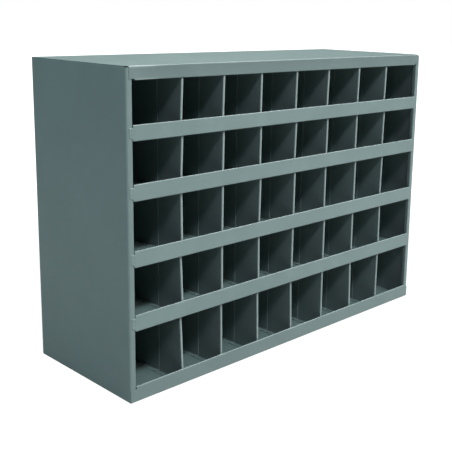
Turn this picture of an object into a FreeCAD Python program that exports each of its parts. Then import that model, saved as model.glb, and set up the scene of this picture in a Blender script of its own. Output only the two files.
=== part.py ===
import FreeCAD, Part
import math
import os

# A free-standing pigeonhole unit of folded and spot-welded steel sheet: a shell of five panels, four
# shelves with turned-up front lips, and upright dividers between them.  Each divider is two sheets: a
# folded front edge and a web lapped on its left.  Millimetres.  The open front faces -Y, +X is to the
# right of someone facing it, and +Z is up.  The origin is the middle of the footprint, on the surface
# that the unit stands on.

# Overall size.  The height is the sum of the rows, their lips and the top flange, further down.
width = 857.25
depth = 304.8

# Rows, from the top one down: clear height of the front opening, and height of the lip under it.
opening_heights = [75.3, 75.0, 88.6, 87.5, 104.7]
lip_heights = [28.4, 30.5, 30.8, 31.0, 29.9]
top_flange_height = 24.7

# Columns: the inner ones are one pitch wide, the two outer ones take what is left.
divider_count = 7
divider_pitch = 101.3

# Sheet and folds.
shell_sheet = 0.9
back_sheet = 0.75
divider_sheet = 0.75
inside_radius = 0.9
hem_inside_radius = 0.6
hem_return = 8.0

# Side panels: the folded front stile, its return into the unit, and the flanges for the other panels.
stile_width = 12.7
stile_return = 8.6
side_flange = 12.7
rear_flange = 12.7
flange_band = 6.0

# Top panel: the return under its front flange and the cut-outs at its front corners.
top_return = 8.0
top_return_setback = 5.5
top_tab_rise = 2.4
top_flange_margin = 6.0
corner_relief_depth = 9.0

# Front lips: the flat tabs that lap over the stiles.
lip_margin = 5.0
tab_drop = 4.9
tab_chamfer = 7.0

# Shelves.
shelf_end_flange = 12.7

# Dividers: the hollow front edge and how far its leaf runs back before the web laps it, the short return on
# the other side of the edge, and the flanges along the floor and the ceiling.
divider_edge_width = 4.8
leaf_depth = 69.0
lap = 10.0
edge_return = 12.0
divider_flange = 9.5

# Clearances.
fit_gap = 0.5
divider_front_gap = 1.2
divider_rear_gap = 0.6
edge_end_gap = 0.5
lap_gap = 0.5
back_gap = 0.2
smallest_run = 1e-6

# Worked-out planes.
height = sum(opening_heights) + sum(lip_heights) + top_flange_height
half_width = width / 2
front_y = -depth / 2
stile_y = front_y + shell_sheet
rear_y = depth / 2 - back_sheet
half_sheet = shell_sheet / 2
hem_depth = 2 * (hem_inside_radius + shell_sheet)
ceiling_z = height - shell_sheet
stile_inner_x = half_width - stile_width
stile_return_y = stile_y + stile_return
outside_radius = inside_radius + shell_sheet
half_divider = divider_sheet / 2
divider_fold = inside_radius + divider_sheet
divider_front_y = front_y + hem_depth + divider_front_gap
web_front_y = divider_front_y + leaf_depth
divider_rear_y = rear_y - outside_radius - divider_rear_gap


def point(x, y, z):
    return FreeCAD.Vector(x, y, z)


def box(x_low, x_high, y_low, y_high, z_low, z_high):
    corner = point(x_low, y_low, z_low)
    return Part.makeBox(x_high - x_low, y_high - y_low, z_high - z_low, corner)


def fuse(shapes):
    whole = shapes[0].multiFuse(shapes[1:])
    return whole.removeSplitter()


def mirrored(shape):
    return shape.mirror(point(0, 0, 0), point(1, 0, 0))


def both_ends(shape):
    return [shape, mirrored(shape)]


def sheet_section(corners, sheet, radii):
    """The closed outline of a folded sheet: its middle line runs through the corners and turns at each
    one on an arc, and the two faces lie half a sheet either side of it."""
    runs = []
    for start, end in zip(corners, corners[1:]):
        runs.append((end - start).normalize())
    normal = runs[0].cross(runs[1]).normalize()
    sides = []
    for side in (sheet / 2, -sheet / 2):
        edges = []
        here = corners[0] + normal.cross(runs[0]) * side
        first = here
        for index, corner in enumerate(corners[1:-1]):
            run_in = runs[index]
            run_out = runs[index + 1]
            turn = run_in.getAngle(run_out)
            left = 1 if run_in.cross(run_out).dot(normal) > 0 else -1
            middle_radius = radii[index] + sheet / 2
            tangent = middle_radius * math.tan(turn / 2)
            centre = corner - run_in * tangent + normal.cross(run_in) * (left * middle_radius)
            arc_start = corner - run_in * tangent + normal.cross(run_in) * side
            arc_end = corner + run_out * tangent + normal.cross(run_out) * side
            arc_middle = centre + (corner - centre).normalize() * (middle_radius - left * side)
            if here.distanceToPoint(arc_start) > smallest_run:
                edges.append(Part.LineSegment(here, arc_start).toShape())
            edges.append(Part.Arc(arc_start, arc_middle, arc_end).toShape())
            here = arc_end
        last = corners[-1] + normal.cross(runs[-1]) * side
        if here.distanceToPoint(last) > smallest_run:
            edges.append(Part.LineSegment(here, last).toShape())
        sides.append((edges, first, last))
    start_cap = Part.LineSegment(sides[0][1], sides[1][1]).toShape()
    end_cap = Part.LineSegment(sides[0][2], sides[1][2]).toShape()
    edges = sides[0][0] + [end_cap] + sides[1][0] + [start_cap]
    return Part.Face(Part.Wire(Part.__sortEdges__(edges)))


def lip_corners(x, floor_z, lip_height):
    """Middle line of a floor with a turned-up, hemmed front lip and a turned-up rear flange."""
    lip_top = floor_z + lip_height
    hem_y = front_y + hem_depth - half_sheet
    return [
        point(x, hem_y, lip_top - hem_return),
        point(x, hem_y, lip_top - half_sheet),
        point(x, front_y + half_sheet, lip_top - half_sheet),
        point(x, front_y + half_sheet, floor_z + half_sheet),
        point(x, rear_y - half_sheet, floor_z + half_sheet),
        point(x, rear_y - half_sheet, floor_z + rear_flange),
    ]


def lip_and_floor(x_end, floor_z, lip_height):
    radii = [hem_inside_radius, hem_inside_radius, inside_radius, inside_radius]
    section = sheet_section(lip_corners(-x_end, floor_z, lip_height), shell_sheet, radii)
    return section.extrude(point(2 * x_end, 0, 0))


def side_flange_strip(edge_z, inward_z):
    """A strip folded inwards from the left side panel at the height edge_z; inward_z is 1 below and
    -1 above."""
    x_outer = -half_width + half_sheet
    y_start = stile_return_y + fit_gap
    corners = [
        point(x_outer, y_start, edge_z + inward_z * flange_band),
        point(x_outer, y_start, edge_z + inward_z * half_sheet),
        point(-half_width + side_flange, y_start, edge_z + inward_z * half_sheet),
    ]
    section = sheet_section(corners, shell_sheet, [inside_radius])
    return section.extrude(point(0, rear_y - shell_sheet - fit_gap - y_start, 0))


def make_left_side():
    x_outer = -half_width + half_sheet
    x_return = -stile_inner_x - half_sheet
    corners = [
        point(x_return, stile_return_y, shell_sheet),
        point(x_return, stile_y + half_sheet, shell_sheet),
        point(x_outer, stile_y + half_sheet, shell_sheet),
        point(x_outer, rear_y - half_sheet, shell_sheet),
        point(-half_width + rear_flange, rear_y - half_sheet, shell_sheet),
    ]
    section = sheet_section(corners, shell_sheet, [inside_radius] * 3)
    panel = section.extrude(point(0, 0, ceiling_z - shell_sheet))
    y_start = stile_return_y + fit_gap
    y_end = rear_y - shell_sheet - fit_gap
    x_past = -half_width + shell_sheet + fit_gap
    upper_band = box(-half_width - 1, x_past, y_start, y_end, ceiling_z - flange_band, height)
    lower_band = box(-half_width - 1, x_past, y_start, y_end, 0, shell_sheet + flange_band)
    fold_y = stile_y + inside_radius
    x_inside = -stile_inner_x + fit_gap
    foot_relief = box(-half_width - 1, x_inside, front_y, fold_y, shell_sheet, shell_sheet + inside_radius)
    head_relief = box(-half_width - 1, x_inside, front_y, fold_y, ceiling_z - inside_radius, ceiling_z)
    panel = panel.cut(Part.makeCompound([upper_band, lower_band, foot_relief, head_relief]))
    return fuse([panel, side_flange_strip(ceiling_z, -1), side_flange_strip(shell_sheet, 1)])


def make_top():
    flange_bottom = height - top_flange_height
    corners = [
        point(-half_width, front_y + top_return, flange_bottom + half_sheet),
        point(-half_width, front_y + half_sheet, flange_bottom + half_sheet),
        point(-half_width, front_y + half_sheet, height - half_sheet),
        point(-half_width, rear_y - half_sheet, height - half_sheet),
        point(-half_width, rear_y - half_sheet, height - rear_flange),
    ]
    section = sheet_section(corners, shell_sheet, [inside_radius] * 3)
    panel = section.extrude(point(width, 0, 0))
    flange_end = half_width - top_flange_margin
    relief = box(flange_end, half_width, front_y, front_y + corner_relief_depth, flange_bottom, height)
    return_end = stile_inner_x - top_return_setback
    return_y = front_y + top_return + fit_gap
    no_return = box(return_end, half_width, front_y, return_y, flange_bottom, flange_bottom + top_tab_rise)
    rear_end = half_width - rear_flange - fit_gap
    no_rear = box(rear_end, half_width, rear_y - outside_radius, rear_y, height - rear_flange, ceiling_z)
    cuts = both_ends(relief) + both_ends(no_return) + both_ends(no_rear)
    return panel.cut(Part.makeCompound(cuts))


def make_bottom():
    lip_height = lip_heights[-1]
    panel = lip_and_floor(half_width, 0, lip_height)
    lap_start = stile_inner_x - fit_gap
    hem_y = front_y + hem_depth + fit_gap
    no_hem = box(lap_start, half_width, front_y, hem_y, lip_height - tab_drop, lip_height)
    no_hem_return = box(lap_start, half_width, stile_y, hem_y, lip_height - hem_return, lip_height)
    rear_end = half_width - rear_flange - fit_gap
    no_rear = box(rear_end, half_width, rear_y - outside_radius, rear_y, shell_sheet, rear_flange)
    cuts = both_ends(no_hem) + both_ends(no_hem_return) + both_ends(no_rear)
    return panel.cut(Part.makeCompound(cuts))


def lip_tab(floor_z, lip_height):
    """The flat end of a lip, lapped over the right-hand stile, with its lower outer corner cut off."""
    x_inner = stile_inner_x - fit_gap
    x_outer = half_width - lip_margin
    tab_top = floor_z + lip_height - tab_drop
    corners = [
        point(x_inner, front_y, floor_z + outside_radius),
        point(x_outer, front_y, floor_z + tab_chamfer),
        point(x_outer, front_y, tab_top),
        point(x_inner, front_y, tab_top),
    ]
    outline = Part.makePolygon(corners + [corners[0]])
    return Part.Face(outline).extrude(point(0, shell_sheet, 0))


def shelf_end(floor_z):
    """The right-hand end of a shelf behind the stile: floor and turned-down end flange."""
    x_inner = stile_inner_x - fit_gap
    x_outer = half_width - shell_sheet
    y_start = stile_return_y + fit_gap
    y_end = rear_y - outside_radius - fit_gap
    corners = [
        point(x_inner, y_start, floor_z + half_sheet),
        point(x_outer - half_sheet, y_start, floor_z + half_sheet),
        point(x_outer - half_sheet, y_start, floor_z - shelf_end_flange),
    ]
    section = sheet_section(corners, shell_sheet, [inside_radius])
    return section.extrude(point(0, y_end - y_start, 0))


def make_shelf(floor_z, lip_height):
    middle = lip_and_floor(stile_inner_x - fit_gap, floor_z, lip_height)
    ends = both_ends(shelf_end(floor_z)) + both_ends(lip_tab(floor_z, lip_height))
    return fuse([middle] + ends)


def flanged_wall(x_middle, x_tip, y_start, y_end, z_low, z_high):
    """An upright divider sheet with a flange turned to the left, out to x_tip, along its foot and its
    head."""
    corners = [
        point(x_tip, y_start, z_low + half_divider),
        point(x_middle, y_start, z_low + half_divider),
        point(x_middle, y_start, z_high - half_divider),
        point(x_tip, y_start, z_high - half_divider),
    ]
    section = sheet_section(corners, divider_sheet, [inside_radius] * 2)
    return section.extrude(point(0, y_end - y_start, 0))


def make_divider_edge(seam_x, floor_z, roof_z):
    """The front sheet of a divider: hollow front edge, short return on its right, and a flanged leaf
    whose left face is at seam_x."""
    leaf_x = seam_x + half_divider
    return_x = seam_x + divider_edge_width - half_divider
    fold_y = divider_front_y + divider_fold
    leaf = flanged_wall(leaf_x, seam_x - divider_flange, fold_y, web_front_y + lap, floor_z, roof_z)
    edge_low = floor_z + divider_sheet + edge_end_gap
    edge_high = roof_z - divider_sheet - edge_end_gap
    corners = [
        point(leaf_x, fold_y, edge_low),
        point(leaf_x, divider_front_y + half_divider, edge_low),
        point(return_x, divider_front_y + half_divider, edge_low),
        point(return_x, divider_front_y + edge_return, edge_low),
    ]
    section = sheet_section(corners, divider_sheet, [inside_radius] * 2)
    edge = section.extrude(point(0, 0, edge_high - edge_low))
    return fuse([leaf, edge])


def make_divider_web(seam_x, floor_z, roof_z):
    """The rear sheet of a divider: its right face is at seam_x, and for the length of the lap its
    flanges step over the flanges of the front sheet."""
    web_x = seam_x - half_divider
    tip_x = seam_x - divider_flange
    step_y = web_front_y + lap + lap_gap
    step_end_y = step_y + divider_sheet
    lap_floor = floor_z + divider_sheet
    lap_roof = roof_z - divider_sheet
    over_lap = flanged_wall(web_x, tip_x, web_front_y, step_end_y, lap_floor, lap_roof)
    rest = flanged_wall(web_x, tip_x, step_y, divider_rear_y, floor_z, roof_z)
    return fuse([over_lap, rest])


def top_return_space():
    """What the front sheets of the top row give way to: the return under the top panel's front flange."""
    y_end = front_y + top_return + fit_gap
    return box(-half_width, half_width, front_y, y_end, height - top_flange_height - fit_gap, height)


def make_back():
    """A flat sheet lapped over the rear flanges, clear of the folds all round."""
    margin = outside_radius + back_gap
    x_edge = half_width - margin
    return box(-x_edge, x_edge, rear_y, rear_y + back_sheet, margin, height - margin)


def floor_levels():
    """Underside of the floor of each row, from the top row down to the bottom panel."""
    levels = []
    z = height - top_flange_height
    for opening, lip in zip(opening_heights, lip_heights):
        z = z - opening - lip
        levels.append(z)
    levels[-1] = 0.0
    return levels


def make_nodes():
    nodes = {}
    left_side = make_left_side()
    nodes["left_side_panel"] = left_side
    nodes["right_side_panel"] = mirrored(left_side)
    nodes["top_panel"] = make_top()
    nodes["bottom_panel"] = make_bottom()
    nodes["back_panel"] = make_back()
    levels = floor_levels()
    for index, floor_z in enumerate(levels[:-1]):
        nodes[f"shelf_{index + 1}"] = make_shelf(floor_z, lip_heights[index])
    roofs = [ceiling_z] + levels[:-1]
    for row, (level, roof_z) in enumerate(zip(levels, roofs), start=1):
        floor_z = level + shell_sheet
        edges = []
        for column in range(1, divider_count + 1):
            x_middle = (column - (divider_count + 1) / 2) * divider_pitch
            seam_x = x_middle - divider_edge_width / 2
            edge = make_divider_edge(seam_x, floor_z, roof_z)
            if row == 1:
                edge = edge.cut(top_return_space())
            edges.append(edge.Solids[0])
            nodes[f"divider_web_row_{row}_column_{column}"] = make_divider_web(seam_x, floor_z, roof_z)
        nodes[f"divider_front_edges_row_{row}"] = Part.makeCompound(edges)
    return nodes


os.makedirs("parts", exist_ok=True)
for name, shape in make_nodes().items():
    shape.exportStep(f"parts/{name}.step")
    size = shape.BoundBox
    print(f"{name}: {len(shape.Solids)} solid, valid {shape.isValid()}, volume {shape.Volume:.0f} mm3, "
          f"{size.XLength:.2f} x {size.YLength:.2f} x {size.ZLength:.2f} mm")
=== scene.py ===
import bpy
import numpy as np
from mathutils import Matrix, Vector


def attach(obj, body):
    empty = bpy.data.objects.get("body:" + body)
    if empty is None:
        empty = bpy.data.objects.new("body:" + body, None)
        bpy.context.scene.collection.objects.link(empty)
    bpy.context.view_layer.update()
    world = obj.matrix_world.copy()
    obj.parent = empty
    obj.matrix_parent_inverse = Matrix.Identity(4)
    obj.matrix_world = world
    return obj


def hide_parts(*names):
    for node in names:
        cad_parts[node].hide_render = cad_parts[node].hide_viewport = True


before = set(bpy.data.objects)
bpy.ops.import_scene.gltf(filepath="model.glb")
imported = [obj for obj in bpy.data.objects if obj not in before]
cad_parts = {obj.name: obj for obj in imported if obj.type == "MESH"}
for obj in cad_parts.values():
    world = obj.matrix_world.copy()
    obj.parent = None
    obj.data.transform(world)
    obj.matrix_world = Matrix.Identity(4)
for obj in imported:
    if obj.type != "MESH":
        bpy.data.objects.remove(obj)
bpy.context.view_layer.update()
print("frame loaded:", len(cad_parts), "nodes")

# Millimetres. The open front faces -Y, +X is to the right of someone facing it, and the unit stands on z = 0.
unit = {
    "width": 857.25,
    "depth": 304.8,
    "openings": [75.3, 75.0, 88.6, 87.5, 104.7],   # heights, from the top row down
    "lips": [28.4, 30.5, 30.8, 31.0, 29.9],        # the lip below each row
    "topFlange": 24.7,
    "sheet": 0.9,
    "backSheet": 0.75,
    "bendInside": 0.9,
    "hemInside": 0.6,
    "gap": 0.5,
}
mm = 0.001
sheet = unit["sheet"]
halfSheet = sheet / 2
gap = unit["gap"]
bend = unit["bendInside"] + halfSheet          # to the middle of the sheet
hemBend = unit["hemInside"] + halfSheet
outsideBend = unit["bendInside"] + sheet
height = sum(unit["openings"]) + sum(unit["lips"]) + unit["topFlange"]
halfWidth = unit["width"] / 2
frontY = -unit["depth"] / 2
stileY = frontY + sheet
rearY = unit["depth"] / 2 - unit["backSheet"]
ceilingZ = height - sheet
levels = []                                    # the floor of each row
for opening, lip in zip(unit["openings"], unit["lips"]):
    levels.append((levels[-1] if levels else height - unit["topFlange"]) - opening - lip)
levels[-1] = 0.0                               # the lowest floor, free of rounding

meshSteps = {
    "weldPoints": 9,                           # positions across a weld
    "weldReach": 1.15,                         # how far they reach, in radii of a weld
    "besideRaw": (0.12, 0.35, 0.7, 1.0),       # distances of the positions beside a raw edge
    "besideBend": 2.0,                         # distance of the one beside a bend, on runs that are long
    "longRun": 8.0,
    "sharpAngle": 0.75,                        # radians, above which two faces meet in a sharp edge
}
weldMark = {
    "radius": 3.4,
    "steepness": 1.6,
    "reach": 12.0,                             # past this a weld moves nothing
}
edge = {
    "rawRadius": 0.35,                         # how far in a raw edge is thinner
    "paintedRadius": 1.0,                      # the same where thick paint rounds it
    "thinnest": 0.25,                          # share of the thickness that is left at the edge itself
    "wearWidth": 0.5,
    # paleness of the paint over bends; set high on some pieces it paints a highlight along the bend
    "bendWearAndHighlight": 0.25,
}
tiny = 1e-4                                    # lengths below this count as nothing
slack = 1e-6                                   # for positions that rounding puts just past an end
digits = 4                                     # that positions along a line are rounded to
noEdge = 1e3                                   # distance to an edge that isn't raw
rippleLengths = (310.0, 190.0, 120.0)


def spread(start, end, spacing, marks=(), rawStart=False, rawEnd=False):
    # Positions from start to end in even steps, with close ones across each mark and beside each raw end.
    steps = max(1, int(np.ceil((end - start) / spacing)))
    across = np.linspace(-1, 1, meshSteps["weldPoints"]) * weldMark["radius"] * meshSteps["weldReach"]
    beside = np.array(meshSteps["besideRaw"])
    parts = [np.linspace(start, end, steps + 1)]
    parts += [mark + across for mark in marks]
    if rawStart:
        parts.append(start + beside)
    if rawEnd:
        parts.append(end - beside)
    found = np.unique(np.round(np.concatenate(parts), digits))
    return found[(found >= start - slack) & (found <= end + slack)]


def turned(direction, angles):
    # The direction turned by each angle: v * cos a + (v turned a quarter to the left) * sin a.
    left = np.array([-direction[1], direction[0]])
    return direction * np.cos(angles)[:, None] + left * np.sin(angles)[:, None]


def foldLine(corners, radii, spacing=40.0, arcSteps=6, marks=None):
    # Middle line of a folded sheet: each run between corners is straight, and each corner is the arc
    # centre + radius * (cos a, sin a) between its two tangent points. It gives the points, their left-hand
    # normals, and how bent the sheet is there: 1 on an arc and 0 on a run.
    corners = np.array(corners, float)
    runs = np.diff(corners, axis=0)
    lengths = np.linalg.norm(runs, axis=1)
    runs /= lengths[:, None]
    lefts = np.stack([-runs[:, 1], runs[:, 0]], 1)
    points, normals, bent = [], [], []
    used = 0.0
    for index in range(len(runs)):
        lastRun = index == len(runs) - 1
        tangent, turn = 0.0, 0.0
        if not lastRun:
            turn = np.arctan2(-(runs[index] @ lefts[index + 1]), runs[index] @ runs[index + 1])
            tangent = radii[index] * np.tan(abs(turn) / 2)
        straight = lengths[index] - used - tangent
        if straight > tiny:
            runMarks = [mark - used for mark in (marks or {}).get(index, [])]
            where = spread(0, straight, spacing, runMarks, index == 0, lastRun)
            if straight > meshSteps["longRun"]:
                beside = meshSteps["besideBend"]
                near = [beside] * (index > 0) + [straight - beside] * (not lastRun)
                where = np.unique(np.concatenate([where, near]))
            where = where[1:] if used else where
            points.append(corners[index] + runs[index] * (used + where)[:, None])
            normals.append(np.repeat(lefts[index][None], len(where), 0))
            ends = ((where < tiny) & (index > 0)) | ((where > straight - tiny) & (not lastRun))
            bent.append(ends.astype(float))
        if not lastRun:
            start = corners[index + 1] - runs[index] * tangent
            centre = start + lefts[index] * np.sign(turn) * radii[index]
            angles = np.linspace(0, turn, arcSteps + 1)[1:]
            points.append(centre + turned(start - centre, angles))
            normals.append(turned(lefts[index], angles))
            bent.append(np.ones(arcSteps))
            used = tangent
    return np.concatenate(points), np.concatenate(normals), np.concatenate(bent)


def thinned(distance, radius):
    # Share of the sheet's thickness beside a raw edge: thinnest + (1 - thinnest) * a quarter circle, which is
    # sqrt(1 - (1 - distance / radius)^2).
    near = np.clip(1 - distance / radius, 0, 1)
    return edge["thinnest"] + (1 - edge["thinnest"]) * np.sqrt(1 - near ** 2)


def fadeOut(distance, limit, width):
    # 1 in the middle, falling evenly to 0 over the width before the limit.
    return np.clip((limit - abs(distance)) / width, 0, 1)


def ripple(a, b, seed):
    # Slow uneven wave between 0 and 1: half of 1 + the mean of three sines that cross at different angles.
    rng = np.random.default_rng(seed)
    total = 0
    for length in rippleLengths:
        angle, phase = rng.uniform(0, np.pi), rng.uniform(0, 2 * np.pi)
        total = total + np.sin(2 * np.pi * (a * np.cos(angle) + b * np.sin(angle)) / length + phase)
    return 0.5 + total / (2 * len(rippleLengths))


def dimpled(middle, direction, welds, depth):
    # Spot welds: each sinks the sheet by depth * smoothstep(steepness * (1 - distance / radius)), which gives
    # it a flat bottom.
    direction = np.array(direction, float)
    for weld in welds:
        offset = middle - weld
        across = offset - direction * (offset @ direction)[..., None]
        distance = np.linalg.norm(across, axis=-1)
        share = np.clip(weldMark["steepness"] * (1 - distance / weldMark["radius"]), 0, 1)
        near = np.linalg.norm(offset, axis=-1) < weldMark["reach"]
        middle = middle + direction * (near * share * share * (3 - 2 * share) * depth)[..., None]
    return middle


def gridShell(middle, normal, thickness, wearAndHighlight):
    # Closed sheet from a middle surface P(s, t): faces at P + N * thickness / 2 and P - N * thickness / 2,
    # with four rims between them, all turned round if they would enclose a negative volume.
    rows, columns = middle.shape[:2]
    offset = normal * (thickness / 2)[..., None]
    vertices = np.concatenate([(middle + offset).reshape(-1, 3), (middle - offset).reshape(-1, 3)])
    upper = np.arange(rows * columns).reshape(rows, columns)
    lower = upper + rows * columns
    quad = lambda a, b, c, d: np.stack([a, b, c, d], -1).reshape(-1, 4)
    faces = np.concatenate([
        quad(upper[:-1, :-1], upper[:-1, 1:], upper[1:, 1:], upper[1:, :-1]),
        quad(lower[:-1, :-1], lower[1:, :-1], lower[1:, 1:], lower[:-1, 1:]),
        quad(upper[0, 1:], upper[0, :-1], lower[0, :-1], lower[0, 1:]),
        quad(upper[-1, :-1], upper[-1, 1:], lower[-1, 1:], lower[-1, :-1]),
        quad(upper[:-1, 0], upper[1:, 0], lower[1:, 0], lower[:-1, 0]),
        quad(upper[1:, -1], upper[:-1, -1], lower[:-1, -1], lower[1:, -1]),
    ])
    corner = vertices[faces]
    volume = 0.0
    for a, b, c in ((0, 1, 2), (0, 2, 3)):
        volume += np.einsum("ij,ij->", corner[:, a], np.cross(corner[:, b], corner[:, c]))
    return vertices, faces[:, ::-1] if volume < 0 else faces, np.concatenate([wearAndHighlight.ravel()] * 2)


def foldedShell(line, stations, axis, thick, rawLine=(True, True), rawStations=(True, True), push=None,
                rawRadius=edge["rawRadius"], settled=0.0, bendWearAndHighlight=edge["bendWearAndHighlight"], rawWear=1.0):
    # Middle surface P(s, t): the folded line at t, carried to s along the axis, then pushed. A settled sheet
    # thins towards its raw edges from the outside alone, so that it stays down on the sheet behind it.
    points, normals, bent = line
    along = "xyz".index(axis)
    other = [i for i in range(3) if i != along]
    middle = np.zeros((len(stations), len(points), 3))
    normal = np.zeros_like(middle)
    middle[..., along] = stations[:, None]
    middle[..., other] = points[None]
    normal[..., other] = normals[None]
    length = np.concatenate([[0], np.cumsum(np.linalg.norm(np.diff(points, axis=0), axis=1))])
    far = np.full_like(length, noEdge)
    lineEdge = np.minimum(length if rawLine[0] else far, length[-1] - length if rawLine[1] else far)
    far = np.full_like(stations, noEdge)
    stationEdge = np.minimum(stations - stations[0] if rawStations[0] else far,
                             stations[-1] - stations if rawStations[1] else far)
    toEdge = np.minimum(lineEdge[None], stationEdge[:, None])
    # Paler paint beside raw edges and over bends; where bends get a high share it is a painted highlight.
    wearAndHighlight = np.maximum(bent[None] * bendWearAndHighlight, (toEdge < edge["wearWidth"]) * rawWear)
    thickness = thick * thinned(toEdge, rawRadius)
    middle = middle - normal * (settled * (thick - thickness) / 2)[..., None]
    if push:
        middle = push(middle)
    return gridShell(middle, normal, thickness, wearAndHighlight)


def mirrored(shell):
    # The same sheet on the other side: x changes sign, and the faces turn round to go on pointing outwards.
    vertices, faces, wearAndHighlight = shell
    return vertices * [-1, 1, 1], faces[:, ::-1], wearAndHighlight


class Wire:
    # A socket's value in shader maths: each operator adds one Math node.
    def __init__(self, finish, socket):
        self.finish = finish
        self.socket = socket

    def math(self, operation, *values, clamp=False):
        sockets = dict(enumerate(values))
        made = self.finish.node("ShaderNodeMath", {"operation": operation, "use_clamp": clamp}, sockets)
        return Wire(self.finish, made.outputs[0])

    def __add__(self, other):
        return self.math("ADD", self, other)

    def __radd__(self, other):
        return self.math("ADD", other, self)

    def __sub__(self, other):
        return self.math("SUBTRACT", self, other)

    def __rsub__(self, other):
        return self.math("SUBTRACT", other, self)

    def __mul__(self, other):
        return self.math("MULTIPLY", self, other)

    def __rmul__(self, other):
        return self.math("MULTIPLY", other, self)

    def clamped(self):
        return self.math("ADD", self, 0.0, clamp=True)


class Finish:
    # A material under construction.
    def __init__(self, name):
        self.material = bpy.data.materials.new(name)
        self.material.use_nodes = True
        self.tree = self.material.node_tree
        self.shader = self.tree.nodes["Principled BSDF"]
        self.place = self.node("ShaderNodeTexCoord").outputs["Object"]

    def node(self, kind, settings=None, sockets=None):
        made = self.tree.nodes.new(kind)
        for name, value in (settings or {}).items():
            setattr(made, name, value)
        self.fill(made, sockets or {})
        return made

    def fill(self, made, sockets):
        for name, value in sockets.items():
            if isinstance(value, Wire):
                value = value.socket
            if isinstance(value, bpy.types.NodeSocket):
                self.tree.links.new(value, made.inputs[name])
            else:
                made.inputs[name].default_value = value

    def noise(self, scale, detail=2.0, roughness=0.5, stretch=None):
        # Fractal noise from 0 to 1 at so many cells a metre, squeezed along each axis by stretch.
        place = self.place
        if stretch:
            place = self.node("ShaderNodeMapping", {}, {"Vector": place, "Scale": stretch}).outputs[0]
        made = self.node("ShaderNodeTexNoise", {"noise_dimensions": "3D"},
                         {"Vector": place, "Scale": scale, "Detail": detail, "Roughness": roughness})
        return Wire(self, made.outputs["Fac"])

    def stepUp(self, value, low, high):
        # 0 below low, 1 above high, and a smooth step between.
        made = self.node("ShaderNodeMapRange", {"interpolation_type": "SMOOTHSTEP"},
                         {"Value": value, "From Min": low, "From Max": high})
        return Wire(self, made.outputs[0])

    def mix(self, share, first, second):
        made = self.node("ShaderNodeMix", {"data_type": "RGBA"}, {"Factor": share, 6: first, 7: second})
        return made.outputs[2]

    def attribute(self, name):
        return Wire(self, self.node("ShaderNodeAttribute", {"attribute_name": name}).outputs["Fac"])


enamel = {
    "colour": (0.144, 0.205, 0.200, 1),
    "pale": (0.157, 0.221, 0.215, 1),
    "deep": (0.134, 0.192, 0.188, 1),
    "thin": (0.216, 0.285, 0.278, 1),
    # edge: palest, a painted highlight colour for the bends of the top and the dividers' front edges
    "edge": (0.238, 0.309, 0.300, 1),
    "steel": (0.36, 0.37, 0.37, 1),
    "shiftBy": (1.0, 0.7, -1.0),               # the way a finish's seedShift moves its noises
    # noises: cells a metre, detail, roughness, stretch
    "mottle": (7.0, 3.0, 0.55),
    "cloud": (21.0, 4.0, 0.6),
    "specks": (620.0, 1.0),
    "scuffs": (90.0, 5.0, 0.7, (1.0, 0.12, 1.0)),
    "scuffPatches": (11.0, 2.0),
    "chips": (170.0, 3.0, 0.65),
    "peel": (950.0, 2.0, 0.45),
    "wave": (38.0, 1.0, 0.4),
    # where each pattern begins and where it is full
    "mottleStep": (0.35, 0.7),
    "paleStep": (0.45, 0.75),
    "speckStep": (0.66, 0.74),
    "scuffStep": (0.62, 0.72),
    "patchStep": (0.5, 0.68),
    "thinStep": (0.6, 0.9),                    # lowered by half of a finish's thinAndHighlightShare
    "chipStep": (0.66, 0.69),
    # how much of its colour each pattern gives
    "paleShare": 0.5,
    "speckShare": 0.35,
    "scuffShare": 0.22,
    "roughness": 0.43,
    "cloudRoughness": 0.16,
    "scuffRoughness": 0.12,
    "speckRoughness": 0.05,
    "chipRoughness": 0.1,
    "chipMetal": 0.85,
    # heights in metres
    "peelHeight": 0.00002,
    "waveHeight": 0.00006,
    "chipDepth": 0.00004,
    "ior": 1.5,
    "coat": 0.15,
    "coatRoughness": 0.35,
}


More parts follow.
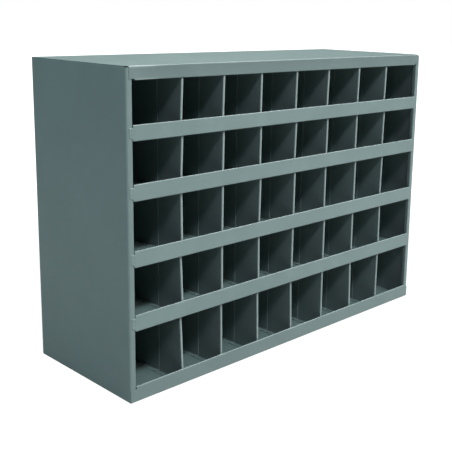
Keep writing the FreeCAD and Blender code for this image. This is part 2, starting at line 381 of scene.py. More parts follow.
def makeEnamel(name, seedShift=0.0, wearAmount=1.0, thinAndHighlightShare=0.55, thinAndHighlightColour="thin", paintedLightScale=1.0):
    # Colour: from deep to base by a slow mottle and part of the way to pale in clouds, with deep specks and
    # pale scuffs, paler where the paint pulls thin over an edge, and a painted highlight on bends where a
    # finish uses the edge colour; bare steel in the few chips, where the wear-and-highlight mask * noise
    # passes a threshold. Every colour is then scaled by a factor, which paints light or shade as a lighter or
    # darker copy
    # of the same enamel. Roughness: base + (cloud - 0.5), scuffs, specks and chips, each times its amount.
    # Height: fine orange peel + the slow wave of rolled sheet - the chips.
    made = Finish(name)
    colour, pale, deep, thinAndHighlightPaint = (tuple(np.array(enamel[key]) * (paintedLightScale, paintedLightScale, paintedLightScale, 1))
                                     for key in ("colour", "pale", "deep", thinAndHighlightColour))
    shift = tuple(seedShift * part for part in enamel["shiftBy"])
    made.place = made.node("ShaderNodeMapping", {}, {"Vector": made.place, "Location": shift}).outputs[0]
    mottle = made.noise(*enamel["mottle"])
    cloud = made.noise(*enamel["cloud"])
    specks = made.stepUp(made.noise(*enamel["specks"]), *enamel["speckStep"])
    scuffs = made.stepUp(made.noise(*enamel["scuffs"]), *enamel["scuffStep"])
    scuffs = scuffs * made.stepUp(made.noise(*enamel["scuffPatches"]), *enamel["patchStep"])
    wearAndHighlight = made.attribute("wearAndHighlight")
    thinLow, thinHigh = np.array(enamel["thinStep"]) - thinAndHighlightShare / 2
    thin = (wearAndHighlight * made.stepUp(cloud, thinLow, thinHigh)).clamped()
    chips = made.stepUp(wearAndHighlight * made.noise(*enamel["chips"]) * wearAmount, *enamel["chipStep"])
    colour = made.mix(made.stepUp(mottle, *enamel["mottleStep"]), deep, colour)
    colour = made.mix(made.stepUp(cloud, *enamel["paleStep"]) * enamel["paleShare"], colour, pale)
    colour = made.mix(specks * enamel["speckShare"], colour, deep)
    colour = made.mix(scuffs * enamel["scuffShare"], colour, enamel["thin"])
    # Paler over edges where the paint is thin; with the edge colour this is a painted highlight on bends.
    colour = made.mix(thin * thinAndHighlightShare, colour, thinAndHighlightPaint)
    colour = made.mix(chips, colour, enamel["steel"])
    rough = enamel["roughness"] + (cloud - 0.5) * enamel["cloudRoughness"] + scuffs * enamel["scuffRoughness"]
    rough = rough + specks * enamel["speckRoughness"] + chips * enamel["chipRoughness"]
    peel = made.noise(*enamel["peel"]) * enamel["peelHeight"]
    wave = made.noise(*enamel["wave"]) * enamel["waveHeight"]
    tall = peel + wave - chips * enamel["chipDepth"]
    bump = made.node("ShaderNodeBump", {}, {"Height": tall, "Strength": 1.0, "Distance": 1.0})
    made.fill(made.shader, {"Base Color": colour, "Roughness": rough, "Metallic": chips * enamel["chipMetal"],
                            "Normal": bump.outputs[0]})
    made.shader.inputs["IOR"].default_value = enamel["ior"]
    made.shader.inputs["Coat Weight"].default_value = enamel["coat"]
    made.shader.inputs["Coat Roughness"].default_value = enamel["coatRoughness"]
    return made.material


# The shelves' enamel is scaled to 1.065 and the top's to 0.94: painted light and painted shade, lighter and
# darker copies of one enamel.
finishes = {
    "shell": makeEnamel("shellEnamel"),
    "top": makeEnamel("topEnamel", thinAndHighlightShare=1.0, thinAndHighlightColour="edge", paintedLightScale=0.94),
    "shelf": makeEnamel("shelfEnamel", seedShift=1.7, wearAmount=1.06, paintedLightScale=1.065),
    # The dividers' enamel takes the palest edge colour in full, which paints a highlight along their front
    # edges.
    "divider": makeEnamel("dividerEnamel", seedShift=3.1, thinAndHighlightShare=1.0, thinAndHighlightColour="edge"),
    "back": makeEnamel("backEnamel", seedShift=5.3, wearAmount=0.9),
}
print("enamel made:", len(finishes), "finishes")


def addPiece(name, shells, finish, *nodes):
    # One mesh of quads from a piece's sheets, which takes the place of its CAD nodes.
    starts = np.cumsum([0] + [len(s[0]) for s in shells[:-1]])
    vertices = np.concatenate([s[0] for s in shells]) * mm
    faces = np.concatenate([s[1] + start for s, start in zip(shells, starts)])
    mesh = bpy.data.meshes.new(name)
    mesh.vertices.add(len(vertices))
    mesh.vertices.foreach_set("co", vertices.astype(np.float32).ravel())
    mesh.loops.add(faces.size)
    mesh.loops.foreach_set("vertex_index", faces.astype(np.int32).ravel())
    mesh.polygons.add(len(faces))
    mesh.polygons.foreach_set("loop_start", np.arange(0, faces.size, 4, dtype=np.int32))
    mesh.update(calc_edges=True)
    wearAndHighlight = mesh.attributes.new("wearAndHighlight", "FLOAT", "POINT")
    wearAndHighlight.data.foreach_set("value", np.concatenate([s[2] for s in shells]).astype(np.float32))
    mesh.shade_smooth()
    mesh.set_sharp_from_angle(angle=meshSteps["sharpAngle"])
    mesh.materials.append(finishes[finish])
    piece = bpy.data.objects.new(name, mesh)
    bpy.context.scene.collection.objects.link(piece)
    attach(piece, "root")
    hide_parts(*nodes)


lipSheet = {
    "hemReturn": 8.0,
    "hemDepth": 3.0,
    "rearFlange": 12.7,
    "stileWidth": 12.7,
    "stileReturn": 8.6,
    "step": 9.0,
    # the flat ends that lap over the stiles
    "tabMargin": 5.0,
    "tabDrop": 4.9,
    "tabChamfer": 7.0,
    "tabStep": 1.2,
    "tabShareStep": 0.06,
    "tabWelds": (10.5, 19.0),
    "tabWeldInset": 3.6,
    "tabWeldDepth": 0.25,
    # the flanges turned down at a shelf's ends
    "endFlange": 12.7,
    "endStep": 40.0,
    # how a lip leans back and wavers, and how far from the sides that stops
    "lean": 0.85,
    "bow": 0.25,
    "bowSqueeze": 1.3,
    "bowMargin": 14.0,
    "bowFade": 30.0,
    "bowDepth": 5.0,                           # what lies further back stays where it is
    "bowSeed": 10,
}
stileInnerX = halfWidth - lipSheet["stileWidth"]
returnY = stileY + lipSheet["stileReturn"]
middleEnd = stileInnerX - gap
lipY = frontY + halfSheet


def lipBow(level, lipHeight, seed, leanBack):
    # A lip leans back by (leanBack + bow * ripple(x)) * its share of the lip's height. The floor stays flat.
    def push(middle):
        x, y, z = middle[..., 0], middle[..., 1], middle[..., 2]
        share = np.clip((z - level) / lipHeight, 0, 1) * (y < frontY + lipSheet["bowDepth"])
        lean = (leanBack + lipSheet["bow"] * ripple(x * lipSheet["bowSqueeze"], x * 0, seed)) * share
        inside = fadeOut(x, halfWidth - lipSheet["bowMargin"], lipSheet["bowFade"])
        return middle + np.array([0, 1, 0]) * (lean * inside)[..., None]
    return push


def lipLine(level, lipHeight):
    # Section of a floor and its lip: up the hem, over its fold, down the lip, back along the floor and up the
    # rear flange.
    top = level + lipHeight
    hemY = frontY + lipSheet["hemDepth"] - halfSheet
    corners = [(hemY, top - lipSheet["hemReturn"]), (hemY, top - halfSheet), (lipY, top - halfSheet),
               (lipY, level + halfSheet), (rearY - halfSheet, level + halfSheet),
               (rearY - halfSheet, level + lipSheet["rearFlange"])]
    return foldLine(corners, [hemBend, hemBend, bend, bend])


def lipTab(level, lipHeight):
    # Flat plate over the stile: x and z run evenly between its sides, and the lower side slopes.
    across = spread(middleEnd, halfWidth - lipSheet["tabMargin"], lipSheet["tabStep"], rawEnd=True)
    up = spread(0, 1, lipSheet["tabShareStep"])
    share = (across - across[0]) / (across[-1] - across[0])
    low = level + outsideBend + (lipSheet["tabChamfer"] - outsideBend) * share
    top = level + lipHeight - lipSheet["tabDrop"]
    middle = np.zeros((len(across), len(up), 3))
    middle[..., 0] = across[:, None]
    middle[..., 1] = lipY
    middle[..., 2] = low[:, None] + (top - low)[:, None] * up[None]
    normal = np.zeros_like(middle)
    normal[..., 1] = -1
    toEdge = np.minimum(middle[..., 2] - low[:, None], top - middle[..., 2])
    toEdge = np.minimum(toEdge, (across[-1] - across)[:, None])
    thickness = sheet * thinned(toEdge, edge["paintedRadius"])
    middle = middle - normal * ((sheet - thickness) / 2)[..., None]
    weldX = stileInnerX + lipSheet["tabWeldInset"]
    welds = [np.array([weldX, frontY, level + z]) for z in lipSheet["tabWelds"]]
    middle = dimpled(middle, (0, 1, 0), welds, lipSheet["tabWeldDepth"])
    return gridShell(middle, normal, thickness, (toEdge < edge["wearWidth"]).astype(float))


def shelfEnd(level):
    # The floor's last stretch behind the stile's return, and the flange that is turned down at its end.
    outerX = halfWidth - sheet - halfSheet
    line = foldLine([(middleEnd, level + halfSheet), (outerX, level + halfSheet),
                     (outerX, level - lipSheet["endFlange"])], [bend])
    start, end = returnY + gap, rearY - outsideBend - gap
    stations = spread(start, end, lipSheet["endStep"], rawStart=True, rawEnd=True)
    return foldedShell(line, stations, "y", sheet, rawLine=(False, True))


lipStations = spread(-middleEnd, middleEnd, lipSheet["step"])
for row in range(1, len(levels)):
    level, lipHeight = levels[row - 1], unit["lips"][row - 1]
    bow = lipBow(level, lipHeight, lipSheet["bowSeed"] + row, lipSheet["lean"])
    shells = [foldedShell(lipLine(level, lipHeight), lipStations, "x", sheet, rawStations=(False, False),
                          push=bow)]
    for side in (lipTab(level, lipHeight), shelfEnd(level)):
        shells += [side, mirrored(side)]
    addPiece(f"shelf{row}", shells, "shelf", f"shelf_{row}")
print("shelves made")

bottomSheet = {
    "bowSeed": 20,
    "lean": 0.0,
    # paler paint over its bends, set high to paint a highlight along the lip's hem
    "bendWearAndHighlight": 0.8,
    # the ends of its lip, which cover the feet of the stiles
    "footMargin": 0.9,
    "footStep": 1.2,
    "welds": (9.0, 18.0),
    "weldInset": 5.5,
    "weldDepth": 0.25,
}
lipHeight = unit["lips"][-1]
footTop = lipHeight - lipSheet["tabDrop"]
footWelds = [np.array([halfWidth - bottomSheet["weldInset"], frontY, z]) for z in bottomSheet["welds"]]


def footDimples(middle):
    return dimpled(middle, (0, 1, 0), footWelds, bottomSheet["weldDepth"])


bow = lipBow(0, lipHeight, bottomSheet["bowSeed"], bottomSheet["lean"])
shells = [foldedShell(lipLine(0, lipHeight), lipStations, "x", sheet, rawStations=(False, False), push=bow,
                      bendWearAndHighlight=bottomSheet["bendWearAndHighlight"])]
footLine = foldLine([(lipY, footTop), (lipY, halfSheet), (rearY, halfSheet)], [bend],
                    marks={0: [footTop - z for z in bottomSheet["welds"]]})
footStations = spread(middleEnd, halfWidth - bottomSheet["footMargin"], bottomSheet["footStep"], rawEnd=True)
end = foldedShell(footLine, footStations, "x", sheet, rawStations=(False, True), push=footDimples,
                  rawRadius=edge["paintedRadius"], settled=1.0)
shells += [end, mirrored(end)]
addPiece("bottomPanel", shells, "shell", "bottom_panel")
print("bottom panel made")

topSheet = {
    "returnDepth": 8.0,
    "returnSetback": 5.5,
    "tabRise": 2.4,
    "margin": 6.0,
    "reliefDepth": 9.0,
    "rearFlange": 12.7,
    "step": 12.0,
    "lineStep": 14.0,
    "endStep": 3.0,
    # the sag of its flat part, and how it fades out towards the edges
    "sag": 0.35,
    "sagMargin": 16.0,
    "sagFadeX": 90.0,
    "sagHalfDepth": 140.0,
    "sagFadeY": 60.0,
    "sagSeed": 31,
    # one ding: place, radius and depth
    "ding": (-338.0, -66.0, 22.0, 1.9),
    "dingPoints": 5,
    "dingReach": 0.8,
    # how far the front flange is tucked in at its foot
    "tuck": 2.4,
    "tuckWave": 0.3,
    "tuckSqueeze": 1.2,
    "tuckDepth": 10.0,                         # what lies further back stays where it is
    "tuckMargin": 20.0,
    "tuckFade": 30.0,
    "tuckSeed": 33,
    # where the painted highlight on the front bend begins towards the left corner, and where it is strongest
    "highlightFrom": -345.0,
    "highlightTo": -375.0,
    "rawWear": 0.4,
    "weldRows": [-118.0, -62.0, -4.0, 56.0, 112.0],
    "weldInset": 7.6,
    "weldDepth": 0.14,
}
flangeBottom = height - unit["topFlange"]
topWeldX = halfWidth - topSheet["weldInset"]
topWelds = [np.array([side * topWeldX, y, height]) for side in (-1, 1) for y in topSheet["weldRows"]]
dingX, dingY, dingRadius, dingDepth = topSheet["ding"]


def topSag(middle):
    # The flat part sinks by (sag * ripple(x, y) + ding), fading out towards its edges, and by its spot welds.
    # The ding is depth * (1 - distance / radius)^2. The front flange tucks in by (tuck + wave * ripple(x)) *
    # (1 - (share of its height)^2).
    x, y, z = middle[..., 0], middle[..., 1], middle[..., 2]
    fade = fadeOut(x, halfWidth - topSheet["sagMargin"], topSheet["sagFadeX"])
    fade = fade * fadeOut(y, topSheet["sagHalfDepth"], topSheet["sagFadeY"]) * (z > ceilingZ)
    ding = dingDepth * np.clip(1 - np.hypot(x - dingX, y - dingY) / dingRadius, 0, 1) ** 2
    sunk = (topSheet["sag"] * ripple(x, y, topSheet["sagSeed"]) + ding) * fade
    middle = middle - np.array([0, 0, 1]) * sunk[..., None]
    middle = dimpled(middle, (0, 0, -1), topWelds, topSheet["weldDepth"])
    wave = topSheet["tuckWave"] * ripple(x * topSheet["tuckSqueeze"], x * 0, topSheet["tuckSeed"])
    lean = (topSheet["tuck"] + wave) * (y < frontY + topSheet["tuckDepth"])
    lean = lean * (1 - np.clip((z - flangeBottom) / unit["topFlange"], 0, 1) ** 2)
    inside = fadeOut(x, halfWidth - topSheet["tuckMargin"], topSheet["tuckFade"])
    return middle + np.array([0, 1, 0]) * (lean * inside)[..., None]


flatZ, rearFaceY = height - halfSheet, rearY - halfSheet
returnEnd = stileInnerX - topSheet["returnSetback"]
flangeEnd = halfWidth - topSheet["margin"]
flatY = frontY + topSheet["reliefDepth"]
rowMarks = [y - lipY for y in topSheet["weldRows"]]
acrossDing = np.linspace(-topSheet["dingReach"], topSheet["dingReach"], topSheet["dingPoints"]) * dingRadius
faceTop, faceFoot = (lipY, flatZ), (lipY, flangeBottom + topSheet["tabRise"])
returnCorners = [(frontY + topSheet["returnDepth"] - topSheet["tuck"], flangeBottom + halfSheet),
                 (lipY, flangeBottom + halfSheet)]
rearCorners = [(rearFaceY, flatZ), (rearFaceY, height - topSheet["rearFlange"])]
lineStep = topSheet["lineStep"]
full = foldLine(returnCorners + [faceTop] + rearCorners, [bend] * 3, spacing=lineStep,
                marks={2: rowMarks + list(dingY - lipY + acrossDing)})
short = foldLine([faceFoot, faceTop] + rearCorners, [bend] * 2, spacing=lineStep, marks={1: rowMarks})
plain = foldLine([faceFoot, faceTop, (rearY, flatZ)], [bend], spacing=lineStep, marks={1: rowMarks})
flat = foldLine([(flatY, flatZ), (rearY, flatZ)], [], spacing=lineStep,
                marks={0: [y - flatY for y in topSheet["weldRows"]]})
stations = spread(-returnEnd, returnEnd, topSheet["step"], dingX + acrossDing)
highlightFrom, highlightTo = topSheet["highlightFrom"], topSheet["highlightTo"]
# The front bend grows paler towards the left corner: a painted highlight.
bendHighlight = np.clip((highlightFrom - stations) / (highlightFrom - highlightTo), 0, 1)
shells = [foldedShell(full, stations, "x", sheet, rawStations=(False, False), push=topSag,
                      bendWearAndHighlight=bendHighlight[:, None], rawWear=topSheet["rawWear"])]
for line, start, end in ((short, returnEnd, middleEnd), (plain, middleEnd, flangeEnd),
                         (flat, flangeEnd, halfWidth)):
    rawEnd = line is not short
    stations = spread(start, end, topSheet["endStep"], [topWeldX], rawEnd=rawEnd)
    # the left corner's strips get full paleness on their bends, which paints the same highlight there
    for leftCorner in (False, True):
        strip = foldedShell(line, stations, "x", sheet, rawStations=(False, rawEnd), push=topSag,
                            rawRadius=edge["paintedRadius"], settled=1.0, bendWearAndHighlight=float(leftCorner),
                            rawWear=topSheet["rawWear"])
        shells.append(mirrored(strip) if leftCorner else strip)
addPiece("topPanel", shells, "top", "top_panel")
print("top panel made")

sideSheet = {
    "rearFlange": 12.7,
    "sideFlange": 12.7,
    "flangeBand": 6.0,
    "cornerBend": 2.2,
    "headRelief": 2.0,
    "step": 14.0,
    "lineStep": 16.0,
    "endStep": 3.0,
    "flangeStep": 40.0,
    # how the outer face dishes in, and how that fades out towards its edges
    "dent": 0.55,
    "dentHalfDepth": 138.0,
    "dentFadeY": 60.0,
    "dentHalfHeight": 290.0,
    "dentFadeZ": 90.0,
    "dentDepth": 0.2,                          # what lies further in stays where it is
    "leftSeed": 41,
    "rightSeed": 47,
    "weldRows": [-122.0, -68.0, -12.0, 48.0, 106.0],
    "weldDrop": 6.5,
    "weldDepth": 0.2,
}
sideX = -halfWidth + halfSheet
returnX = -stileInnerX - halfSheet
weldLevels = [level - sideSheet["weldDrop"] for level in levels[:-1]]
sideWelds = [np.array([-halfWidth, y, z]) for z in weldLevels for y in sideSheet["weldRows"]]
bandLow, bandHigh = sheet + sideSheet["flangeBand"], ceilingZ - sideSheet["flangeBand"]


def sideDent(seed):
    # The outer face dishes in by dent * ripple(y, z), fading out towards its edges, and by its spot welds.
    def push(middle):
        x, y, z = middle[..., 0], middle[..., 1], middle[..., 2]
        fade = fadeOut(y, sideSheet["dentHalfDepth"], sideSheet["dentFadeY"])
        fade = fade * fadeOut(z - height / 2, sideSheet["dentHalfHeight"], sideSheet["dentFadeZ"])
        fade = fade * (x < sideX + sideSheet["dentDepth"])
        middle = middle + np.array([1, 0, 0]) * (sideSheet["dent"] * ripple(y, z, seed) * fade)[..., None]
        return dimpled(middle, (1, 0, 0), sideWelds, sideSheet["weldDepth"])
    return push


def sideShells(seed):
    # The left side: one folded sheet from the stile's return to the rear flange, then short lengths of its
    # front and rear below and above it, where the flanges for the bottom and the top stand between them.
    stileCorners = [(returnX, returnY), (returnX, stileY + halfSheet), (sideX, stileY + halfSheet)]
    rearCorners = [(sideX, rearFaceY), (-halfWidth + sideSheet["rearFlange"], rearFaceY)]
    yStart, yEnd = returnY + gap, rearY - sheet - gap
    bends = [bend, sideSheet["cornerBend"] + halfSheet, bend]
    whole = foldLine(stileCorners + rearCorners, bends, spacing=sideSheet["lineStep"],
                     marks={2: [y - stileY - halfSheet for y in sideSheet["weldRows"]]})
    stile = foldLine(stileCorners + [(sideX, yStart)], bends[:2])
    rear = foldLine([(sideX, yEnd)] + rearCorners, [bend])
    stations = spread(bandLow, bandHigh, sideSheet["step"], weldLevels)
    shells = [foldedShell(whole, stations, "z", sheet, rawStations=(False, False), push=sideDent(seed))]
    for low, high, raw in ((sheet, bandLow, (True, False)), (bandHigh, ceilingZ, (False, True))):
        for line, relief in ((stile, sideSheet["headRelief"]), (rear, 0.0)):
            end = high - relief * raw[1]
            stations = spread(low, end, sideSheet["endStep"], rawStart=raw[0], rawEnd=raw[1])
            shells.append(foldedShell(line, stations, "z", sheet, rawStations=raw))
    stations = spread(yStart, yEnd, sideSheet["flangeStep"], rawStart=True, rawEnd=True)
    for edgeZ, inward in ((sheet, 1), (ceilingZ, -1)):
        flangeZ = edgeZ + inward * halfSheet
        strip = foldLine([(sideX, edgeZ + inward * sideSheet["flangeBand"]), (sideX, flangeZ),
                          (-halfWidth + sideSheet["sideFlange"], flangeZ)], [bend])
        shells.append(foldedShell(strip, stations, "y", sheet, rawLine=(False, True)))
    return shells


addPiece("leftSidePanel", sideShells(sideSheet["leftSeed"]), "shell", "left_side_panel")
rightShells = [mirrored(shell) for shell in sideShells(sideSheet["rightSeed"])]
addPiece("rightSidePanel", rightShells, "shell", "right_side_panel")
print("side panels made")

backSheet = {
    "clearance": 0.2,
    "step": 16.0,
    # how it dishes in, and how that fades out towards its edges
    "dish": 0.25,
    "dishMargin": 20.0,
    "dishHalfHeight": 280.0,
    "dishFade": 60.0,
    "dishSeed": 53,
    "weldColumns": [-420.0, -340.0, -255.0, -170.0, -85.0, 0.0, 85.0, 170.0, 255.0, 340.0, 420.0],
    "weldRise": 7.5,
    "endWeldInset": 7.0,
    "sideWeldX": 421.0,
    "sideWeldRows": [30.0, 90.0, 210.0, 330.0, 395.0, 540.0],
    "weldDepth": 0.16,
}
backWeldZ = [backSheet["endWeldInset"]] + [level + backSheet["weldRise"] for level in levels[:-1]]
backWeldZ.append(height - backSheet["endWeldInset"])
outerY = unit["depth"] / 2
backWelds = [np.array([x, outerY, z]) for x in backSheet["weldColumns"] for z in backWeldZ]
for side in (-1, 1):
    backWelds += [np.array([side * backSheet["sideWeldX"], outerY, z]) for z in backSheet["sideWeldRows"]]


def backDish(middle):
    # The sheet dishes in by dish * ripple(x, z), fading out towards its edges, and by its spot welds.
    x, z = middle[..., 0], middle[..., 2]
    fade = fadeOut(x, halfWidth - backSheet["dishMargin"], backSheet["dishFade"])
    fade = fade * fadeOut(z - height / 2, backSheet["dishHalfHeight"], backSheet["dishFade"])
    sunk = backSheet["dish"] * ripple(x, z, backSheet["dishSeed"]) * fade
    middle = middle - np.array([0, 1, 0]) * sunk[..., None]
    return dimpled(middle, (0, -1, 0), backWelds, backSheet["weldDepth"])


margin = outsideBend + backSheet["clearance"]
backX, backY = halfWidth - margin, rearY + unit["backSheet"] / 2
line = foldLine([(-backX, backY), (backX, backY)], [], spacing=backSheet["step"],
                marks={0: [x + backX for x in backSheet["weldColumns"]]})
stations = spread(margin, height - margin, backSheet["step"], backWeldZ, rawStart=True, rawEnd=True)
shells = [foldedShell(line, stations, "z", unit["backSheet"], push=backDish)]
addPiece("backPanel", shells, "back", "back_panel")
print("back panel made")

divider = {
    "count": 7,
    "pitch": 101.3,
    "sheet": 0.75,
    "edgeWidth": 4.8,
    "leafDepth": 69.0,
    "lap": 10.0,
    "edgeReturn": 12.0,
    "flange": 9.5,
    "frontGap": 1.2,
    "rearGap": 0.6,
    "endGap": 0.5,
    "lapGap": 0.5,
    "rawEdge": 0.12,
    "wallStep": 26.0,
    "step": 24.0,
    "edgeStep": 14.0,
    "bendSteps": 4,
    # sideways lean of the front edges, foot minus head: by row, and added from column to column
    "footRight": [-3.8, -3.0, -0.9, 0.6, 2.3],
    "footDrift": -0.35,
    "looseLean": 0.7,
    # how far each row's first front edge stands back at its head and foot, and how far the others may
    "firstRecess": [(0.0, 2.8), (0.4, 2.8), (2.4, 0.0), (3.4, 0.0), (3.8, 0.2)],
    "looseRecess": 2.6,
    "leanStop": 6.0,                           # in front of the web, where lean and recess have faded out
    # the foot flange of the front sheet, which is lifted at its tip
    "tipLift": 0.8,
    "tipStop": 1.0,
    "tipFade": 8.0,
    "tipHeight": 2.0,
    # the front corner of the web's foot flange, which is curled up
    "curl": 1.3,
    "curlRange": (0.6, 1.1),
    "curlHeight": 3.0,
    "seed": 7,
}
thin = divider["sheet"]
halfThin = thin / 2
dividerBend = unit["bendInside"] + halfThin
edgeFrontY = frontY + lipSheet["hemDepth"] + divider["frontGap"]
foldY = edgeFrontY + unit["bendInside"] + thin
webFrontY = edgeFrontY + divider["leafDepth"]
webRearY = rearY - outsideBend - divider["rearGap"]
leanEndY = webFrontY - divider["leanStop"]
tipEndY = webFrontY - divider["tipStop"]
rng = np.random.default_rng(divider["seed"])


def flangedWall(wallX, tipX, yStart, yEnd, low, high, push, ceilingFlange=True, raw=(True, True)):
    # Upright sheet: the line from the foot flange's tip, up the wall and out along a ceiling flange is
    # carried from yStart to yEnd.
    corners = [(tipX, low + halfThin), (wallX, low + halfThin), (wallX, high - halfThin)]
    if ceilingFlange:
        corners.append((tipX, high - halfThin))
    line = foldLine(corners, [dividerBend] * (len(corners) - 2), spacing=divider["wallStep"],
                    arcSteps=divider["bendSteps"])
    stations = spread(yStart, yEnd, divider["step"], rawStart=raw[0], rawEnd=raw[1])
    return foldedShell(line, stations, "y", thin, rawStations=raw, push=push, rawRadius=divider["rawEdge"])


def frontLean(low, high, wallX, tipX, headRecess, footRecess, headLean, footLean):
    # Near the front the sheet stands back and leans sideways by amounts that run evenly from foot to head.
    # Both fade out before the web. The foot flange rises by tipLift * (share towards its tip), up to the lap.
    def push(middle):
        x, y, z = middle[..., 0], middle[..., 1], middle[..., 2]
        share = np.clip((z - low) / (high - low), 0, 1)
        near = np.clip((leanEndY - y) / (leanEndY - edgeFrontY), 0, 1)
        out = np.clip((wallX - x) / (wallX - tipX), 0, 1)
        free = np.clip((tipEndY - y) / divider["tipFade"], 0, 1)
        moved = np.zeros_like(middle)
        moved[..., 0] = (footLean + (headLean - footLean) * share) * near
        moved[..., 1] = (footRecess + (headRecess - footRecess) * share) * near
        moved[..., 2] = divider["tipLift"] * out * free * (z < low + divider["tipHeight"])
        return middle + moved
    return push


def tipCurl(tipX, wallX, floorZ, lift):
    # The front corner of the web's foot flange curls up by lift * (share towards its tip) *
    # (share of the lap)^2.
    def push(middle):
        x, y, z = middle[..., 0], middle[..., 1], middle[..., 2]
        out = np.clip((wallX - x) / (wallX - tipX), 0, 1)
        ahead = np.clip(1 - (y - webFrontY) / divider["lap"], 0, 1)
        foot = z < floorZ + divider["curlHeight"]
        return middle + np.array([0, 0, 1]) * (lift * out * ahead ** 2 * foot)[..., None]
    return push


lapEndY = webFrontY + divider["lap"]
stepY = lapEndY + divider["lapGap"]
roofs = [ceilingZ] + levels[:-1]
for row in range(1, len(levels) + 1):
    low, high = levels[row - 1] + sheet, roofs[row - 1]
    fronts = []
    for column in range(1, divider["count"] + 1):
        fromMiddle = column - (divider["count"] + 1) // 2
        seamX = fromMiddle * divider["pitch"] - divider["edgeWidth"] / 2
        leafX, tipX, webX = seamX + halfThin, seamX - divider["flange"], seamX - halfThin
        rightX = seamX + divider["edgeWidth"] - halfThin
        head, foot = divider["firstRecess"][row - 1]
        if column > 1:
            head, foot = rng.uniform(0, divider["looseRecess"], 2)
        footRight = divider["footRight"][row - 1] + divider["footDrift"] * fromMiddle
        leans = rng.uniform(-0.5, 0.5, 2) * divider["looseLean"] + np.array([-0.5, 0.5]) * footRight
        lean = frontLean(low, high, leafX, tipX, head, foot, *leans)
        edgeHigh = high - thin - divider["endGap"]
        start = foldY
        if row == 1:                           # behind the top's flange the front sheet is cut lower
            edgeHigh = flangeBottom - gap
            start = frontY + topSheet["returnDepth"] + gap
            fronts.append(flangedWall(leafX, tipX, foldY, start, low, edgeHigh, lean, False, (True, False)))
        fronts.append(flangedWall(leafX, tipX, start, lapEndY, low, high, lean, raw=(row > 1, True)))
        edgeLine = foldLine([(leafX, foldY), (leafX, edgeFrontY + halfThin), (rightX, edgeFrontY + halfThin),
                             (rightX, edgeFrontY + divider["edgeReturn"])], [dividerBend] * 2)
        edgeLow = low + thin + divider["endGap"]
        stations = spread(edgeLow, edgeHigh, divider["edgeStep"], rawStart=True, rawEnd=True)
        # The front edge's bends get full paleness, which paints a highlight along each divider's front edge.
        fronts.append(foldedShell(edgeLine, stations, "z", thin, rawLine=(False, True), push=lean,
                                  bendWearAndHighlight=1.0))
        curl = tipCurl(tipX, webX, low + thin, divider["curl"] * rng.uniform(*divider["curlRange"]))
        web = [flangedWall(webX, tipX, webFrontY, stepY + thin, low + thin, high - thin, curl),
               flangedWall(webX, tipX, stepY, webRearY, low, high, None)]
        addPiece(f"dividerWebRow{row}Column{column}", web, "divider",
                 f"divider_web_row_{row}_column_{column}")
    addPiece(f"dividerFrontEdgesRow{row}", fronts, "divider", f"divider_front_edges_row_{row}")
print("dividers made")

studio = {
    "floorSize": 30.0,
    "floorZ": -0.0003,
    "floorColour": (0.33, 0.33, 0.33, 1),
    "floorRoughness": 0.9,
    "floorShadow": 0.3,
    "floorGlow": 1.38,
    "shadowFade": (0.7, 1.6),
    "lightTarget": (0, 0, 0.3),
    # name: place and size in metres, power in watts, colour
    "lights": {
        "keyLight": ((-0.447, -5.113, 6.436), 0.8, 323.0, (0.85, 1.0, 1.015)),
        "cornerLight": ((-4.313, -4.313, 5.476), 1.5, 105.0, (1.0, 0.825, 0.975)),
        "frontLight": ((1.3, -6.2, 4.6), 3.0, 208.0, (1.0, 1.0, 0.945)),
        "rightLight": ((2.3, -1.4, 3.0), 1.8, 147.0, (1.075, 1.0, 1.015)),
        "leftLight": ((-2.5, 0.5, 2.4), 1.4, 43.5, (0.812, 1.0, 1.04)),
        "rearLight": ((1.322, 1.576, 2.751), 1.8, 39.0, (0.86, 1.0, 0.955)),
    },
}


def makeFloor():
    # Seen directly the floor is white, with a faint shadow near the unit that fades out with a smooth step of
    # the distance. It lights the unit as a grey floor would.
    half, z = studio["floorSize"] / 2, studio["floorZ"]
    corners = [(-half, -half, z), (half, -half, z), (half, half, z), (-half, half, z)]
    mesh = bpy.data.meshes.new("studioFloor")
    mesh.from_pydata(corners, [], [(0, 1, 2, 3)])
    floor = bpy.data.objects.new("studioFloor", mesh)
    bpy.context.scene.collection.objects.link(floor)
    finish = Finish("paleFloor")
    grey = finish.shader
    finish.fill(grey, {"Base Color": studio["floorColour"], "Roughness": studio["floorRoughness"]})
    glow = finish.node("ShaderNodeEmission", {}, {"Color": (1, 1, 1, 1), "Strength": studio["floorGlow"]})
    away = finish.node("ShaderNodeVectorMath", {"operation": "LENGTH"}, {0: finish.place})
    near = 1 - finish.stepUp(away.outputs["Value"], *studio["shadowFade"])
    seen = finish.node("ShaderNodeMixShader", {},
                       {0: near * studio["floorShadow"], 1: glow.outputs[0], 2: grey.outputs[0]})
    path = finish.node("ShaderNodeLightPath")
    mix = finish.node("ShaderNodeMixShader", {},
                      {0: path.outputs["Is Camera Ray"], 1: grey.outputs[0], 2: seen.outputs[0]})
    finish.tree.links.new(mix.outputs[0], finish.tree.nodes["Material Output"].inputs[0])
    mesh.materials.append(finish.material)


def addAreaLight(name, place, size, power, colour):
    light = bpy.data.lights.new(name, "AREA")
    light.size = size
    light.energy = power
    light.color = colour
    lamp = bpy.data.objects.new(name, light)
    lamp.location = place
    lamp.rotation_mode = "QUATERNION"
    lamp.rotation_quaternion = (Vector(studio["lightTarget"]) - Vector(place)).to_track_quat("-Z", "Y")
    bpy.context.scene.collection.objects.link(lamp)


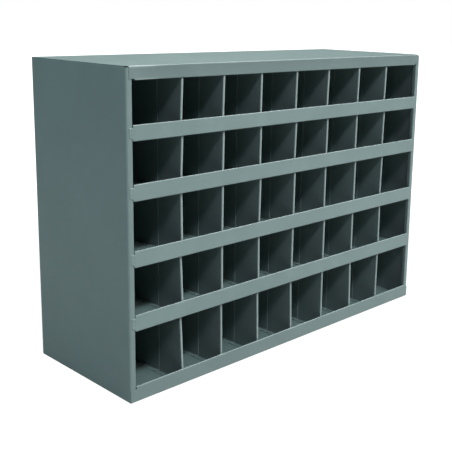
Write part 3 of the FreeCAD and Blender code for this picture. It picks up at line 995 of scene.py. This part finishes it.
def makeWorld():
    # Plain white behind the unit, which the camera alone sees, so that only the lamps light the unit.
    world = bpy.data.worlds.new("studio")
    bpy.context.scene.world = world
    world.use_nodes = True
    nodes, links = world.node_tree.nodes, world.node_tree.links
    nodes.clear()
    seen, light = nodes.new("ShaderNodeBackground"), nodes.new("ShaderNodeBackground")
    seen.inputs[0].default_value = (1, 1, 1, 1)
    light.inputs[0].default_value = (0, 0, 0, 1)
    path = nodes.new("ShaderNodeLightPath")
    mix = nodes.new("ShaderNodeMixShader")
    out = nodes.new("ShaderNodeOutputWorld")
    links.new(path.outputs["Is Camera Ray"], mix.inputs[0])
    links.new(light.outputs[0], mix.inputs[1])
    links.new(seen.outputs[0], mix.inputs[2])
    links.new(mix.outputs[0], out.inputs[0])


makeFloor()
makeWorld()
for name, light in studio["lights"].items():
    addAreaLight(name, *light)
bpy.context.scene.view_settings.view_transform = "Standard"

# place in metres, angles in radians
view = {
    "place": (-1.22849, -1.26163, 0.69605),
    "yaw": 0.79297,
    "pitch": -0.2045,
    "roll": 0.01893,
    "focalPixels": 808.91,
    "centrePixel": (262.0, 181.0),
    "framePixels": 452,
    "sensorWidth": 36,
}
camera = bpy.data.cameras.new("camera")
camera.sensor_width = view["sensorWidth"]
camera.lens = view["focalPixels"] / view["framePixels"] * camera.sensor_width
camera.shift_x = 0.5 - view["centrePixel"][0] / view["framePixels"]
camera.shift_y = view["centrePixel"][1] / view["framePixels"] - 0.5
eye = bpy.data.objects.new("camera", camera)
yaw, pitch, roll = view["yaw"], view["pitch"], view["roll"]
forward = Vector((np.sin(yaw) * np.cos(pitch), np.cos(yaw) * np.cos(pitch), np.sin(pitch)))
right = Vector((np.cos(yaw), -np.sin(yaw), 0))
up = right.cross(forward)
right, up = right * np.cos(roll) + up * np.sin(roll), up * np.cos(roll) - right * np.sin(roll)
eye.matrix_world = Matrix.Translation(view["place"]) @ Matrix((right, up, -forward)).transposed().to_4x4()
bpy.context.scene.collection.objects.link(eye)
bpy.context.scene.camera = eye
print("studio made")
